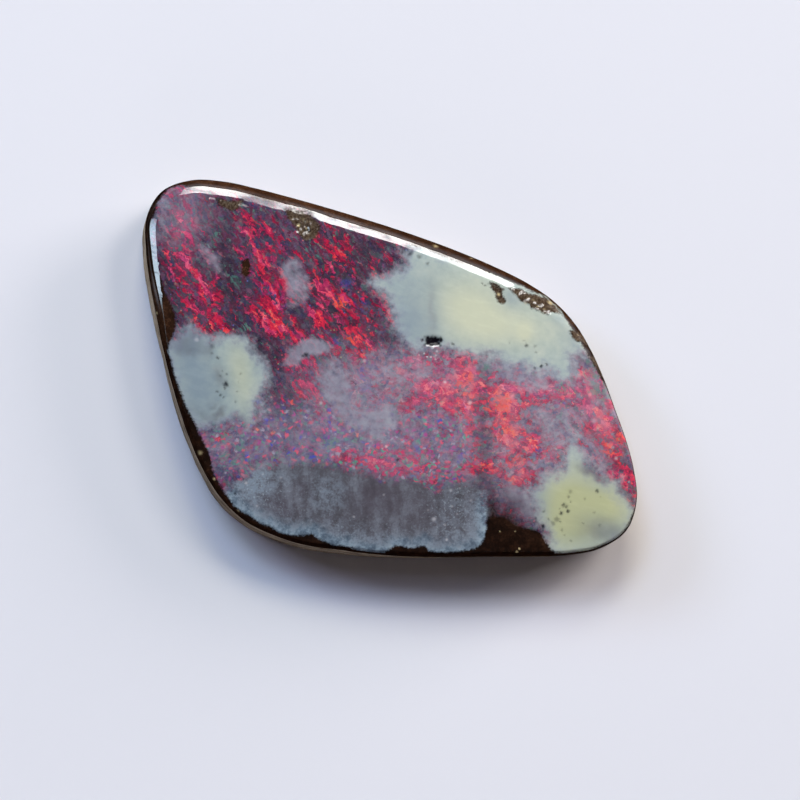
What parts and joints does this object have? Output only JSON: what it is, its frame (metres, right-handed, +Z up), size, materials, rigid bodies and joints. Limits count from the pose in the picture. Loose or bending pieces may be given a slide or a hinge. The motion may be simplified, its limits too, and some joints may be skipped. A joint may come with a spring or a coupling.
{
  "type": "polished boulder opal cabochon",
  "caption": "Freeform kite-shaped boulder opal cabochon with a low polished dome of red play-of-colour and pale potch, a dark ironstone rim and a flat ground back.",
  "frame": {"origin": "middle of the outline's box, on the flat back that the stone lies on", "axes": "+X along the longer side of the outline's box, +Y across the outline, +Z up out of the polished face"},
  "size_m": [0.0204, 0.0158, 0.0031],
  "materials": {
    "boulder_opal": "polished opal face, ground ironstone wall and back"
  },
  "bodies": {
    "root": {"boulder_opal": "boulder_opal"}
  },
  "joints": []
}
